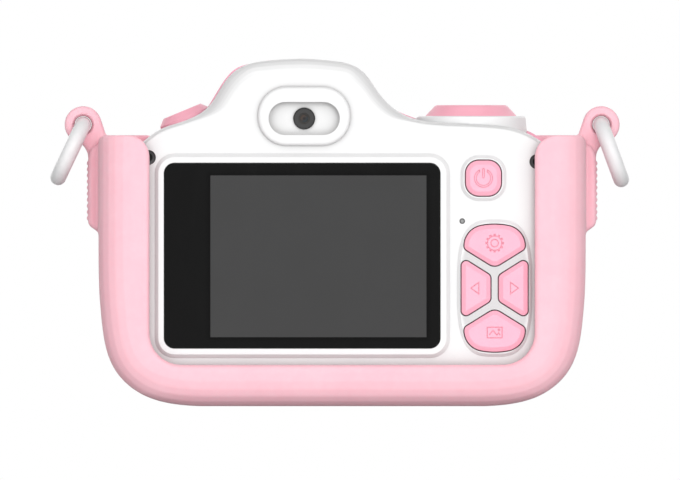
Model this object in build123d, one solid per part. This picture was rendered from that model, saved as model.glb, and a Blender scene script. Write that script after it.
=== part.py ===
from build123d import *
import math
import os

# Toy digital camera in a silicone sleeve with two carrying rings.
# Millimetres. +X is right and +Z is up when the screen is faced,
# +Y is the way the front lens looks. The origin is on the flat bottom
# of the sleeve, under the middle of the camera.

# ---------------------------------------------------------------- sleeve
SLEEVE_HALF_W = 46.04
SLEEVE_TOP_Z = 51.2
SLEEVE_CORNER = [(46.04, 31.4), (45.97, 24.0), (45.79, 20.0), (45.45, 16.2),
                 (44.97, 12.6), (44.40, 10.2), (43.12, 7.2), (40.65, 4.2),
                 (37.14, 1.9), (32.4, 0.5), (27.0, 0.0)]
SLEEVE_WALL = 2.45          # wall between the outside and the cavity
SLEEVE_REAR_Y = -23.0       # crest of the rear lip
SLEEVE_FRONT_Y = 8.6        # crest of the front lip
REAR_ROUND = (6.3, 5.6)     # rounding of the rear edge: across, along Y
FRONT_ROUND = (4.6, 4.2)
REAR_OPEN_HALF_W = 36.4
REAR_OPEN_BOTTOM = 7.82
REAR_OPEN_R = 6.05
FRONT_OPEN_HALF_W = 35.6
FRONT_OPEN_BOTTOM = 6.6
FRONT_OPEN_R = 7.5
POST_INNER_R = 4.15
POST_OUTER_R = 1.5
PORT_CUT_W, PORT_CUT_Y0, PORT_CUT_Y1 = 34.0, -14.6, -4.6   # cut-out under the ports
PORT_CUT_X = 4.0

# ears and side grips of the sleeve
EAR_X, EAR_Z, EAR_R = 48.94, 53.20, 3.5
EAR_HOLE_PLAY = 0.1        # between ring and ear; the hole flares with the ring's curve
EAR_THICK = 3.8
EAR_Y = -2.2
GRIP_X = 47.97              # outer face of the grip
GRIP_THICK = 7.0
GRIP_BOTTOM_Z = 33.1
RIB_PITCH, RIB_PROUD, RIB_COUNT, RIB_TOP_Z = 1.15, 0.28, 10, 45.9

# rings
RING_R = 5.5                # centreline radius
RING_BAR_R = 1.5
RING_LEAN_L = 25.3          # degrees outward from straight down
RING_LEAN_R = 20.2

# ---------------------------------------------------------------- camera body
BODY_INSET = 2.6            # camera body inside the sleeve's outside
TOP_LINE = [(-43.44, 38.0), (-43.44, 39.2), (-43.42, 40.5), (-42.87, 43.19), (-41.78, 45.49),
            (-39.93, 47.78), (-36.6, 50.82), (-34.26, 52.36), (-31.06, 53.5),
            (-27.9, 54.72), (-25.9, 55.98), (-24.42, 57.62), (-22.17, 61.27),
            (-20.52, 63.10), (-18.8, 64.22), (-16.3, 64.99), (-12.02, 65.5),
            (-7.16, 65.66), (-1.79, 65.26), (1.25, 64.7), (3.11, 63.84),
            (4.65, 62.43), (6.64, 59.56), (8.7, 57.16), (10.95, 55.46),
            (13.25, 54.42), (16.32, 53.8), (21.83, 53.45), (28.55, 53.1),
            (32.08, 52.6), (34.99, 51.56), (37.66, 49.98), (39.98, 47.93),
            (41.72, 45.63), (42.88, 43.14), (43.42, 40.5), (43.44, 39.2), (43.44, 38.0)]
REAR_FACE_Y = -20.0
PARTING_Y = -7.0
FRONT_FACE_Y = 5.6
WALL = 2.0
ROUND_DEPTH = 2.4
# width of the rear edge rounding along the top line, keyed by X
REAR_W = [(-44, 0.75), (-30, 0.75), (-28, 0.95), (-26, 1.7), (-24.4, 2.6), (-22, 2.9),
          (-19, 3.2), (-15, 3.5), (-7, 3.7), (0, 3.5), (3, 3.0), (6, 2.5), (9, 2.2),
          (11, 1.6), (13, 1.0), (16, 0.75), (44, 0.75)]
# roundness of that edge: 2 is an ellipse, near 1 a flat bevel
REAR_P = [(-44, 2.0), (-27, 2.0), (-25, 1.45), (-21, 1.45), (-18, 2.0), (1, 2.0),
          (4, 1.5), (10, 1.5), (13, 2.0), (44, 2.0)]
# how far the front shell stands outside the rear shell
FRONT_OUT = [(-44, 0.0), (-25.5, 0.0), (-24.2, 0.26), (-20, 0.26), (-18, 0.0),
             (10.4, 0.0), (11.5, 0.2), (13.2, 0.2), (14.4, 0.0), (32.5, 0.0),
             (34.5, 0.42), (38, 0.42), (40.5, 0.0), (44, 0.0)]

# ---------------------------------------------------------------- screen
WIN_X0, WIN_X1, WIN_Z0, WIN_Z1, WIN_R = -33.66, 18.56, 10.91, 45.96, 2.0
WIN_GAP = 0.06
BEZ_X0, BEZ_X1, BEZ_Z0, BEZ_Z1, BEZ_R = -35.44, 20.41, 9.07, 47.76, 3.8
BEZ_SLOPE = 0.72
BEZ_RISE = 0.6
RIM_RISE = 0.5              # rims round the power key and the key cluster
WIN_FACE_Y = -20.38
ACT_X0, ACT_X1, ACT_Z0, ACT_Z1 = -24.89, 15.93, 13.04, 43.60
LCD_X0, LCD_X1, LCD_Z0, LCD_Z1 = -33.1, 18.1, 11.3, 45.5

# ---------------------------------------------------------------- rear buttons
PWR_X, PWR_Z, PWR_HALF, PWR_R = 26.71, 43.09, 3.32, 2.45
NAV_X, NAV_Z = 28.82, 22.30
KEY_GAP = 0.22
KEY_FACE_Y = -20.95         # crown of the keys
KEY_TRAVEL = 0.45
KEY_BEVEL = (0.82, 0.52)    # bevel round a key: across its face, along Y
ICON_DEPTH = 0.22
KEY_FLANGE = 0.45
LED_X, LED_Z, LED_R = 22.70, 34.97, 0.5

# ---------------------------------------------------------------- rear lens pod
POD_X, POD_Z, POD_W, POD_H, POD_R = -7.17, 54.83, 17.6, 11.25, 5.45
POD_IN_Z, POD_IN_W, POD_IN_H = 54.36, 13.46, 6.26
POD_RISE = 0.9
POD_FLOOR_Y = -19.3
REAR_LENS_R = 2.02

# ---------------------------------------------------------------- top buttons
SHUT_X, SHUT_Y = 24.36, -7.2
SHUT_R, SHUT_TOP_R, SHUT_TOP_Z = 8.7, 7.05, 56.9
COLLAR_R, COLLAR_BASE_R, COLLAR_TOP_Z, COLLAR_BORE = 10.24, 10.52, 54.83, 9.0
COLLAR_SEAT_Z = 50.9
SHUT_TRAVEL = 0.9
LSB_X, LSB_Y, LSB_Z = -30.265, -7.2, 55.735     # centre of the round lens button's top
LSB_TILT = 22.5
LSB_R, LSB_TOP_R, LSB_CHAMFER = 4.95, 3.8, 1.2
LSB_TRAVEL = 0.6

# ---------------------------------------------------------------- front lens
LENS_X, LENS_Z = -7.17, 29.5
LENS_FRONT_Y = 23.0
BARREL_R, BARREL_BASE_R = 17.0, 20.5

# ---------------------------------------------------------------- boards
PCB_Y0, PCB_Y1 = -12.0, -10.4
SWITCH_H = 2.2
PLUNGER_Y = -15.3
SCREWS = [(-36.6, 47.0), (36.8, 46.2), (-37.0, 10.2), (37.0, 10.2)]
SCREW_BORE_R, SCREW_SEAT_Y = 1.4, -17.4

os.makedirs("parts", exist_ok=True)


# ================================================================ helpers
def plane_y(y):
    # sketch plane at depth y: local x is X, local y is Z, normal is -Y
    return Plane(origin=(0, y, 0), x_dir=(1, 0, 0), z_dir=(0, -1, 0))


def table(rows, x):
    if x <= rows[0][0]:
        return rows[0][1]
    for (x0, v0), (x1, v1) in zip(rows, rows[1:]):
        if x <= x1:
            t = (x - x0) / (x1 - x0)
            t = t * t * (3 - 2 * t)
            return v0 + (v1 - v0) * t
    return rows[-1][1]


TOP_EDGE = Spline(*TOP_LINE)
CORNER_EDGE = Spline(*SLEEVE_CORNER)


def top_points(out, n=46):
    # points along the top line moved outward by out(x)
    pts = []
    for i in range(n + 1):
        u = i / n
        p = TOP_EDGE.position_at(u)
        t = TOP_EDGE.tangent_at(u)
        nx, nz = -t.Y, t.X
        d = out(p.X)
        pts.append((p.X + nx * d, p.Y + nz * d))
    return pts


def corner_points(inset, n=12):
    pts = []
    for i in range(n + 1):
        u = i / n
        p = CORNER_EDGE.position_at(u)
        t = CORNER_EDGE.tangent_at(u)
        nx, nz = t.Y, -t.X
        pts.append((p.X + nx * inset, p.Y + nz * inset))
    return pts


def stacked(sections, y0, y1):
    # closed solid through a stack of outlines that share their edge count
    faces = [Face(Wire(sections[0])), Face(Wire(sections[-1]))]
    for a, b in zip(sections, sections[1:]):
        for ea, eb in zip(a, b):
            faces.append(Face.make_surface_from_curves(ea.edge(), eb.edge()))
    s = Solid(Shell(faces))
    if not s.is_valid:
        print("stack not valid", y0, y1)
    return s


def body_edges(y, out):
    # closed outline of the camera body at depth y; out(x) moves it outward
    top = top_points(out)
    d = out(44.0)
    low = corner_points(BODY_INSET - d)
    xr = top[-1][0]
    low[0] = (xr, low[0][1])
    left = [(-x, z) for x, z in low]
    e = [Spline(*top),
         Line(top[-1], low[0]),
         Spline(*low),
         Line(low[-1], left[-1]),
         Spline(*reversed(left)),
         Line(left[0], top[0])]
    return [plane_y(y) * c for c in e]


def body_wire(y, out):
    return Wire(body_edges(y, out))


def slab(wire, y0, y1):
    return extrude(Face(wire), amount=abs(y1 - y0), dir=(0, 1 if y1 > y0 else -1, 0))


def body_slab(out, y0, y1):
    return slab(body_wire(y0, out), y0, y1)


def super_inset(w, p, t):
    return w * (1 - (1 - t ** p) ** (1.0 / p))


def rounded_end(y_start, y_end, width, power, out=lambda x: 0.0, n=6):
    # lofted end of the body, from the full outline to the inset face outline
    rows = []
    for k in range(n + 1):
        th = math.pi / 2 * k / n
        t = math.sin(th)
        y = y_start + (y_end - y_start) * t
        rows.append(body_edges(y, lambda x: out(x) - super_inset(width(x), power(x), t)))
    return stacked(rows, y_start, y_end)


def rr(x0, x1, z0, z1, r):
    return Pos((x0 + x1) / 2, (z0 + z1) / 2) * RectangleRounded(x1 - x0, z1 - z0, r)


def prism(sk, y0, y1):
    # sketch in X-Z extruded from depth y0 to depth y1
    return extrude(plane_y(y0) * sk, amount=y0 - y1)


def cyl_y(x, z, r, y0, y1):
    return prism(Pos(x, z) * Circle(r), y0, y1)


def cyl_z(x, y, r, z0, z1):
    return Pos(x, y, (z0 + z1) / 2) * Cylinder(r, z1 - z0)


def box(x0, x1, y0, y1, z0, z1):
    return Pos((x0 + x1) / 2, (y0 + y1) / 2, (z0 + z1) / 2) * Box(abs(x1 - x0), abs(y1 - y0), abs(z1 - z0))


def frustum(sk0, sk1, y0, y1):
    w0 = (plane_y(y0) * sk0).faces()[0].outer_wire()
    w1 = (plane_y(y1) * sk1).faces()[0].outer_wire()
    return Solid.make_loft([w0, w1], ruled=True)


def tube(pts, radii, r):
    path = FilletPolyline(*pts, radius=radii)
    w = Wire(path.edges())
    start = Plane(origin=w @ 0, z_dir=w % 0)
    return sweep(start * Circle(r), path=w)


def save(shape, name):
    if isinstance(shape, (list, tuple, ShapeList)):
        shape = Compound(children=list(shape)) if len(shape) > 1 else shape[0]
    export_step(shape, "parts/%s.step" % name)


def try_fillet(shape, edges, radii):
    for r in radii:
        try:
            s = fillet(edges, r)
            if s.is_valid:
                return s
        except Exception:
            pass
    print("fillet skipped", radii)
    return shape


# ================================================================ outlines of the keys
def power_sk(d=0.0):
    return Pos(PWR_X, PWR_Z) * RectangleRounded(2 * (PWR_HALF + d), 2 * (PWR_HALF + d), PWR_R + d)


def dome_key_sk():
    # upper key of the cluster, about the cluster's centre: a flat arc, two
    # corner arcs and two straight flanks that meet in a blunt apex
    side = 5.70
    a0 = math.radians(11.0)
    r = 3.83
    x0, z0 = 2.6, 11.75

    def on_corner(th):
        return (x0 + r * (math.sin(th) - math.sin(a0)), z0 - r * (math.cos(a0) - math.cos(th)))

    mid, end = on_corner(math.radians(50.0)), on_corner(math.radians(90.0))
    side = end[0]
    apex = 3.92
    zc = apex + 0.62 * side
    m = lambda p: (-p[0], p[1])
    w = Wire([ThreePointArc((-x0, z0), (0, 12.0), (x0, z0)),
              ThreePointArc((x0, z0), mid, end),
              Line(end, (side, zc)), Line((side, zc), (0, apex)), Line((0, apex), (-side, zc)),
              Line((-side, zc), m(end)), ThreePointArc(m(end), m(mid), (-x0, z0))])
    f = make_face(w)
    f = fillet([v for v in f.vertices() if abs(abs(v.X) - side) < 1e-4 and abs(v.Y - zc) < 1e-4], 0.9)
    return fillet([v for v in f.vertices() if abs(v.X) < 1e-4 and abs(v.Y - apex) < 1e-3], 1.9)


def side_key_sk():
    # right key of the cluster, about the cluster's centre
    xi, xo = 0.79, 6.24
    zi, zo = 2.38, 5.80
    f = make_face(Polyline((xi, -zi), (xo, -zo), (xo, zo), (xi, zi), close=True))
    f = fillet([v for v in f.vertices() if v.X > 3], 0.85)
    return fillet([v for v in f.vertices() if v.X < 1.0], 1.05)


KEYS = {}
_dome = dome_key_sk()
_side = side_key_sk()
KEYS["settings"] = Pos(NAV_X, NAV_Z) * _dome
KEYS["gallery"] = Pos(NAV_X, NAV_Z) * Rot(0, 0, 180) * _dome
KEYS["right"] = Pos(NAV_X, NAV_Z) * _side
KEYS["left"] = Pos(NAV_X, NAV_Z) * Rot(0, 0, 180) * _side
KEYS["power"] = power_sk()
KEY_CENTRE = {"settings": (NAV_X, NAV_Z + 8.4), "gallery": (NAV_X, NAV_Z - 8.4),
              "right": (NAV_X + 3.75, NAV_Z), "left": (NAV_X - 3.75, NAV_Z),
              "power": (PWR_X, PWR_Z)}


def grown(sk, d):
    return offset(sk, d, kind=Kind.ARC) if d > 0 else offset(sk, d, kind=Kind.INTERSECTION)


def icon(name):
    # shallow line art cut into a key's crown
    cx, cz = KEY_CENTRE[name]
    g = 0.22
    cut = []
    if name == "power":
        ring = Circle(1.78) - Circle(1.30)
        gap = Pos(0, 1.5) * Rectangle(1.3, 2.0)
        c_band = ring - gap
        bar = Pos(0, 0.95) * SlotOverall(1.9, 0.46, rotation=90)
        for s in (c_band, bar):
            cut.append(s - offset(s, -0.13, kind=Kind.ARC))
    elif name == "settings":
        cz += 0.1
        teeth = Circle(1.45)
        for k in range(12):
            teeth += Rot(0, 0, 30 * k) * Pos(1.5, 0) * Rectangle(0.5, 0.42)
        cut.append(teeth - offset(teeth, -0.19, kind=Kind.INTERSECTION))
        cut.append(Circle(0.8) - Circle(0.6))
        cut = [Pos(0, 0) * c for c in cut]
    elif name in ("left", "right"):
        sgn = 1 if name == "right" else -1
        tri = make_face(Polyline((-0.85 * sgn, -1.28), (0.9 * sgn, 0), (-0.85 * sgn, 1.28), close=True))
        cut.append(tri - offset(tri, -0.19, kind=Kind.INTERSECTION))
    else:
        frame_ = Rectangle(3.0, 2.2) - Rectangle(2.62, 1.82)
        cut.append(frame_)
        hill = Polyline((-1.05, -0.45), (-0.3, 0.42), (0.42, -0.5))
        hill2 = Polyline((0.42, -0.5), (0.75, -0.05), (1.05, -0.5))
        cut.append(trace(hill, 0.18))
        cut.append(trace(hill2, 0.18))
        cut.append(Pos(0.82, 0.5) * (Circle(0.26) - Circle(0.12)))
    return [Pos(cx, cz) * c for c in cut]


# ================================================================ rear shell
w_rear = lambda x: table(REAR_W, x)
p_rear = lambda x: table(REAR_P, x)
flat = lambda x: 0.0


def solids_of(shape):
    return list(shape.solids())


def build_up(core, adds, cuts):
    # one fuse and one cut, so that no step works on a half-made shell
    parts = []
    for a in adds:
        parts += solids_of(a)
    body = core.solids()[0].fuse(*parts)
    tools = []
    for c in cuts:
        tools += solids_of(c)
    body = body.cut(*tools)
    sol = body.solids().sort_by(SortBy.VOLUME)
    return sol[-1]


LSB_PLANE = Pos(LSB_X, LSB_Y, LSB_Z) * Rot(0, -LSB_TILT, 0)      # local +Z is the button's outward axis
BOARD_POSTS = [(-20.0, 48.6), (8.0, 48.6), (-20.0, 7.4), (24.0, 7.0)]

rear_solid = body_slab(flat, PARTING_Y, REAR_FACE_Y + ROUND_DEPTH)
rear_end = rounded_end(REAR_FACE_Y + ROUND_DEPTH, REAR_FACE_Y, w_rear, p_rear)
rear_outer = rear_solid + rear_end
rear_cavity = body_slab(lambda x: -WALL, PARTING_Y + 1.0, REAR_FACE_Y + WALL)
rear_clip = body_slab(lambda x: -0.6, PARTING_Y, REAR_FACE_Y + 1.0)
rear_core = rear_outer.solids()[0].cut(rear_cavity.solids()[0])
print("rear core", rear_core.is_valid, rear_core.volume)

adds = []
cuts = []
adds.append(cyl_z(SHUT_X, SHUT_Y, 11.3, 49.6, 53.0) & rear_clip)

# raised rims
bez_out = rr(BEZ_X0, BEZ_X1, BEZ_Z0, BEZ_Z1, BEZ_R)
bez_in = rr(BEZ_X0 + BEZ_SLOPE, BEZ_X1 - BEZ_SLOPE, BEZ_Z0 + BEZ_SLOPE, BEZ_Z1 - BEZ_SLOPE, BEZ_R - BEZ_SLOPE)
adds.append(frustum(bez_out, bez_in, -20.0, -20.0 - BEZ_RISE))
pw_out, pw_in = power_sk(1.02), power_sk(0.42)
adds.append(frustum(pw_out, pw_in, -20.0, -20.0 - RIM_RISE))


def oval(dx, dz, n=3.1, k=10):
    pts = []
    for i in range(4 * k):
        a = 2 * math.pi * i / (4 * k)
        c, s = math.cos(a), math.sin(a)
        pts.append((dx * math.copysign(abs(c) ** (2 / n), c), dz * math.copysign(abs(s) ** (2 / n), s)))
    return pts


def oval_edges(dx, dz, y):
    pts = [(NAV_X + x, NAV_Z + z) for x, z in oval(dx, dz)]
    half = len(pts) // 2
    a = Spline(*pts[:half + 1])
    b = Spline(*(pts[half:] + [pts[0]]))
    return [plane_y(y) * a, plane_y(y) * b]


adds.append(stacked([oval_edges(7.16, 13.0, -20.0), oval_edges(6.55, 12.4, -20.0 - RIM_RISE)], -20.0, -20.0 - RIM_RISE))

# pod round the rear lens
pod = prism(Pos(POD_X, POD_Z) * RectangleRounded(POD_W, POD_H, POD_R), -18.4, -20.0 - POD_RISE)
pod = try_fillet(pod, pod.faces().sort_by(Axis.Y)[0].edges(), [0.75, 0.6, 0.4])
adds.append(pod)
cuts.append(prism(Pos(POD_X, POD_IN_Z) * RectangleRounded(POD_IN_W, POD_IN_H, POD_IN_H / 2 - 0.01), -22, POD_FLOOR_Y))
cuts.append(cyl_y(POD_X, POD_IN_Z, REAR_LENS_R + 0.05, -22, -17.0))

# window pocket and opening for the display
cuts.append(prism(rr(WIN_X0 - WIN_GAP, WIN_X1 + WIN_GAP, WIN_Z0 - WIN_GAP, WIN_Z1 + WIN_GAP, WIN_R + WIN_GAP), -22, -19.05))
cuts.append(prism(rr(ACT_X0 - 0.9, ACT_X1 + 0.9, ACT_Z0 - 0.9, ACT_Z1 + 0.9, 0.8), -22, -17.0))

# key holes and the status light
for k in KEYS:
    cuts.append(prism(grown(KEYS[k], KEY_GAP), -22, -17.0))
cuts.append(cyl_y(LED_X, LED_Z, LED_R + 0.03, -22, -17.0))

# screw posts, counterbored from behind
for x, z in SCREWS:
    adds.append(cyl_y(x, z, 2.7, REAR_FACE_Y + 1.0, -8.5) & rear_clip)
    cuts.append(cyl_y(x, z, SCREW_BORE_R, -22, SCREW_SEAT_Y))
    cuts.append(cyl_y(x, z, 1.02, SCREW_SEAT_Y - 0.5, -8.0))

# posts that carry the main board
for x, z in BOARD_POSTS:
    adds.append(cyl_y(x, z, 1.9, REAR_FACE_Y + 1.2, PCB_Y0))
    cuts.append(cyl_y(x, z, 0.8, -17.9, PCB_Y0 + 1))

# port openings in the floor, open to the parting plane
cuts.append(box(-4.9, 4.9, -10.75, -6.0, 1.0, 5.6))
cuts.append(box(8.0, 20.2, -10.35, -9.0, 1.0, 5.6))

# openings in the top for the two buttons
collar_hole = cyl_z(SHUT_X, SHUT_Y, COLLAR_BASE_R + 0.04, COLLAR_SEAT_Z, 60)
shut_hole = cyl_z(SHUT_X, SHUT_Y, 8.95, 47.0, 52.0)
lsb_hole = LSB_PLANE * Pos(0, 0, -3.0) * Cylinder(LSB_R + 0.25, 8.0)
cuts += [collar_hole, shut_hole, lsb_hole]
rear_shell = build_up(rear_core, adds, cuts)
print("rear shell", rear_shell.is_valid, rear_shell.volume)

# ================================================================ front shell
f_out = lambda x: table(FRONT_OUT, x)
fo = body_slab(f_out, FRONT_FACE_Y - ROUND_DEPTH, PARTING_Y) + rounded_end(
    FRONT_FACE_Y - ROUND_DEPTH, FRONT_FACE_Y, lambda x: 2.2, lambda x: 2.0, out=f_out)
front_cavity = body_slab(lambda x: -WALL, FRONT_FACE_Y - WALL, PARTING_Y - 1.0)
front_clip = body_slab(lambda x: -0.6, FRONT_FACE_Y - 1.0, PARTING_Y)
front_core = fo.solids()[0].cut(front_cavity.solids()[0])
print("front core", front_core.is_valid, front_core.volume)
FLASH_X, FLASH_Z = -7.17, 56.6
SPK_X, SPK_Z, SPK_R = 26.0, 22.0, 9.8
SPK_HOLES = [(0, 0)] + [(2.4 * math.cos(math.radians(60 * k)), 2.4 * math.sin(math.radians(60 * k))) for k in range(6)] \
    + [(4.8 * math.cos(math.radians(30 * k + 15)), 4.8 * math.sin(math.radians(30 * k + 15))) for k in range(12)]
MIC_X, MIC_Z = 17.0, 44.0
adds = [cyl_z(SHUT_X, SHUT_Y, 11.3, 49.6, 53.0) & front_clip]
cuts = []
for x, z in SCREWS:
    adds.append(cyl_y(x, z, 2.3, FRONT_FACE_Y - 1.0, -6.9) & front_clip)
    cuts.append(cyl_y(x, z, 0.97, -8.0, 1.6))
# ring rib that holds the speaker
adds.append(cyl_y(SPK_X, SPK_Z, SPK_R + 1.1, FRONT_FACE_Y - 1.2, 0.6) - cyl_y(SPK_X, SPK_Z, SPK_R + 0.05, FRONT_FACE_Y - WALL, 0.0))
# posts that carry the camera bracket
for dx in (-15, 15):
    adds.append(cyl_y(LENS_X + dx, LENS_Z, 1.8, FRONT_FACE_Y - 1.2, -0.45))
cuts.append(cyl_y(LENS_X, LENS_Z, 13.0, 0.0, 8.0))
cuts.append(cyl_y(FLASH_X, FLASH_Z, 3.05, 0.0, 8.0))
for hx, hz in SPK_HOLES:
    cuts.append(cyl_y(SPK_X + hx, SPK_Z + hz, 0.6, 0.0, 8.0))
cuts.append(cyl_y(MIC_X, MIC_Z, 0.5, 0.0, 8.0))
cuts += [collar_hole, shut_hole, lsb_hole]
front_shell = build_up(front_core, adds, cuts)
print("front shell", front_shell.is_valid, front_shell.volume)

save(rear_shell, "rear_shell")
save(front_shell, "front_shell")

# ================================================================ silicone sleeve
U_TOP = 62.0


def sleeve_edges(y, inset):
    low = corner_points(inset)
    left = [(-x, z) for x, z in low]
    xr = low[0][0]
    e = [Line((-xr, U_TOP), (xr, U_TOP)), Line((xr, U_TOP), low[0]),
         Spline(*low),
         Line(low[-1], left[-1]),
         Spline(*reversed(left)),
         Line(left[0], (-xr, U_TOP))]
    return [plane_y(y) * c for c in e]


def sleeve_wire(y, inset):
    return Wire(sleeve_edges(y, inset))


def sleeve_end(y_start, y_end, w, n=6):
    rows = []
    for k in range(n + 1):
        t = math.sin(math.pi / 2 * k / n)
        rows.append(sleeve_edges(y_start + (y_end - y_start) * t, super_inset(w, 2.0, t)))
    return stacked(rows, y_start, y_end)


ry0 = SLEEVE_REAR_Y + REAR_ROUND[1]
fy0 = SLEEVE_FRONT_Y - FRONT_ROUND[1]
sleeve = slab(sleeve_wire(fy0, 0.0), fy0, ry0)
sleeve += sleeve_end(ry0, SLEEVE_REAR_Y, REAR_ROUND[0])
sleeve += sleeve_end(fy0, SLEEVE_FRONT_Y, FRONT_ROUND[0])
cav = slab(sleeve_wire(FRONT_FACE_Y + 0.15, SLEEVE_WALL), FRONT_FACE_Y + 0.15, REAR_FACE_Y - 0.1)
sleeve -= cav


def u_open(hw, zb, r, y0, y1):
    sk = Pos(0, (zb + 80) / 2) * RectangleRounded(2 * hw, 80 - zb, r)
    return prism(sk, y0, y1)


rear_open = u_open(REAR_OPEN_HALF_W, REAR_OPEN_BOTTOM, REAR_OPEN_R, -15, -30)
front_open = u_open(FRONT_OPEN_HALF_W, FRONT_OPEN_BOTTOM, FRONT_OPEN_R, 15, 3)
sleeve -= rear_open
sleeve -= front_open

# soft edge round the rear and front openings
for ysel in (SLEEVE_REAR_Y, SLEEVE_FRONT_Y):
    hw = (REAR_OPEN_HALF_W if ysel < 0 else FRONT_OPEN_HALF_W) + 0.05
    zb = (REAR_OPEN_BOTTOM if ysel < 0 else FRONT_OPEN_BOTTOM) - 0.05
    edges = []
    for e in sleeve.edges():
        bb = e.bounding_box()
        if abs(bb.min.Y - ysel) < 0.02 and abs(bb.max.Y - ysel) < 0.02 and max(abs(bb.min.X), abs(bb.max.X)) < hw and bb.min.Z > zb:
            if e.center().Z < U_TOP - 1.0:
                edges.append(e)
    sleeve = try_fillet(sleeve, edges, [1.0, 0.8, 0.6, 0.4])
sleeve -= box(-70, 70, -40, 40, SLEEVE_TOP_Z, 90)


# rounded tops of the four posts, seen along Y
def top_round(x_edge, r, side, y0, y1):
    # material outside a quarter circle at the corner (x_edge, SLEEVE_TOP_Z)
    blk = Pos(x_edge - side * r / 2 + side * 0.5, SLEEVE_TOP_Z - r / 2 + 0.5) * Rectangle(r + 1.0, r + 1.0)
    c = Pos(x_edge - side * r, SLEEVE_TOP_Z - r) * Circle(r)
    return prism(blk - c, y0, y1)


for sx in (-1, 1):
    sleeve -= top_round(sx * SLEEVE_HALF_W, POST_OUTER_R, sx, 30, -30)
    sleeve -= top_round(sx * REAR_OPEN_HALF_W, POST_INNER_R, -sx, REAR_FACE_Y - 0.1, -30)
    sleeve -= top_round(sx * FRONT_OPEN_HALF_W, 1.2, -sx, 30, FRONT_FACE_Y + 0.15)

# cut-out under the ports
cut = RectangleRounded(PORT_CUT_W, PORT_CUT_Y1 - PORT_CUT_Y0, 2.0)
sleeve -= extrude(Plane.XY.offset(-2) * Pos(PORT_CUT_X, (PORT_CUT_Y0 + PORT_CUT_Y1) / 2) * cut, amount=7.0)


# ears: a round eye on a neck that grows out of a ribbed grip on each side
def ear_profile(s):
    ex, ez, er = EAR_X, EAR_Z, EAR_R
    # eye
    eye = Pos(s * ex, ez) * Circle(er)
    # neck: tangent line on the camera side, concave arc on the outer side
    neck = make_face(Wire([
        Line((s * 44.32, 50.4), (s * 45.64, 54.36)),
        Line((s * 45.64, 54.36), (s * ex, ez)),
        Line((s * ex, ez), (s * (ex + er * math.cos(math.radians(-62))), ez + er * math.sin(math.radians(-62)))),
        Spline((s * (ex + er * math.cos(math.radians(-62))), ez + er * math.sin(math.radians(-62))),
               (s * 49.15, 49.45), (s * 48.25, 48.2), (s * GRIP_X, 46.9)),
        Line((s * GRIP_X, 46.9), (s * 44.32, 46.9)),
        Line((s * 44.32, 46.9), (s * 44.32, 50.4))]))
    return eye + neck


for s in (-1, 1):
    ear = prism(ear_profile(s), EAR_Y + EAR_THICK / 2, EAR_Y - EAR_THICK / 2)
    ear = try_fillet(ear, [e for e in ear.edges() if abs(abs(e.center().Y - EAR_Y) - EAR_THICK / 2) < 0.01
                           and abs(e.center().X) > 44.9 and e.center().Z > 47.2], [0.7, 0.5, 0.35, 0.2])
    flare = [(EAR_HOLE_PLAY + RING_R - math.sqrt((RING_R - RING_BAR_R) ** 2 - t ** 2), t)
             for t in (-2.2, -1.9, -1.5, -1.0, -0.5, 0.0, 0.5, 1.0, 1.5, 1.9, 2.2)]
    hole = revolve(make_face(Polyline((0, -2.2), *flare, (0, 2.2), close=True)), axis=Axis.Y)
    ear -= Pos(s * EAR_X, EAR_Y, EAR_Z) * hole
    gy0, gy1 = EAR_Y + GRIP_THICK / 2, EAR_Y - GRIP_THICK / 2
    gz1 = 49.6
    grip_sk = make_face(Wire([
        Line((s * 45.0, GRIP_BOTTOM_Z - 0.6), (s * 45.95, GRIP_BOTTOM_Z - 0.6)),
        Spline((s * 45.95, GRIP_BOTTOM_Z - 0.6), (s * 46.38, GRIP_BOTTOM_Z), (s * 47.38, GRIP_BOTTOM_Z + 0.72), (s * GRIP_X, GRIP_BOTTOM_Z + 2.1)),
        Line((s * GRIP_X, GRIP_BOTTOM_Z + 2.1), (s * GRIP_X, 46.9)),
        Spline((s * GRIP_X, 46.9), (s * 47.3, 48.7), (s * 46.0, gz1)),
        Line((s * 46.0, gz1), (s * 45.0, gz1)),
        Line((s * 45.0, gz1), (s * 45.0, GRIP_BOTTOM_Z - 0.6))]))
    grip = prism(grip_sk, gy0, gy1)
    grip = try_fillet(grip, [e for e in grip.edges() if abs(abs(e.center().Y - EAR_Y) - GRIP_THICK / 2) < 0.01
                             and abs(e.center().X) > 46.2], [0.8, 0.6, 0.4, 0.25])
    ribs = None
    for k in range(RIB_COUNT):
        zc = RIB_TOP_Z - k * RIB_PITCH
        rib = Pos(s * (GRIP_X - 0.27), EAR_Y, zc) * Rot(90, 0, 0) * Cylinder(0.27 + RIB_PROUD, GRIP_THICK - 2.2)
        ribs = rib if ribs is None else ribs + rib
    sleeve = sleeve + grip + ear + ribs

save(sleeve, "silicone_sleeve")

# ================================================================ rings
for s, lean, name in ((-1, RING_LEAN_L, "left_ring"), (1, RING_LEAN_R, "right_ring")):
    a = math.radians(lean)
    cx = s * (EAR_X + RING_R * math.sin(a))
    cz = EAR_Z - RING_R * math.cos(a)
    # the ring's own axis is square to Y and to the lean direction
    pl = Plane(origin=(cx, EAR_Y, cz), x_dir=(0, 1, 0), z_dir=(math.cos(a), 0, s * math.sin(a)))
    ring = pl * Torus(RING_R, RING_BAR_R)
    save(ring, name)

# ================================================================ screen
window = prism(rr(WIN_X0, WIN_X1, WIN_Z0, WIN_Z1, WIN_R), -19.05, WIN_FACE_Y)
window = try_fillet(window, window.faces().sort_by(Axis.Y)[0].edges(), [0.12])
save(window, "screen_window")
lcd = box(LCD_X0, LCD_X1, -17.0, -15.6, LCD_Z0, LCD_Z1)
save(lcd, "lcd_backlight")
glass = box(LCD_X0 + 0.4, LCD_X1 - 0.3, -17.95, -17.0, LCD_Z0 + 0.3, LCD_Z1 - 0.3)
save(glass, "lcd_glass")
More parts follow.
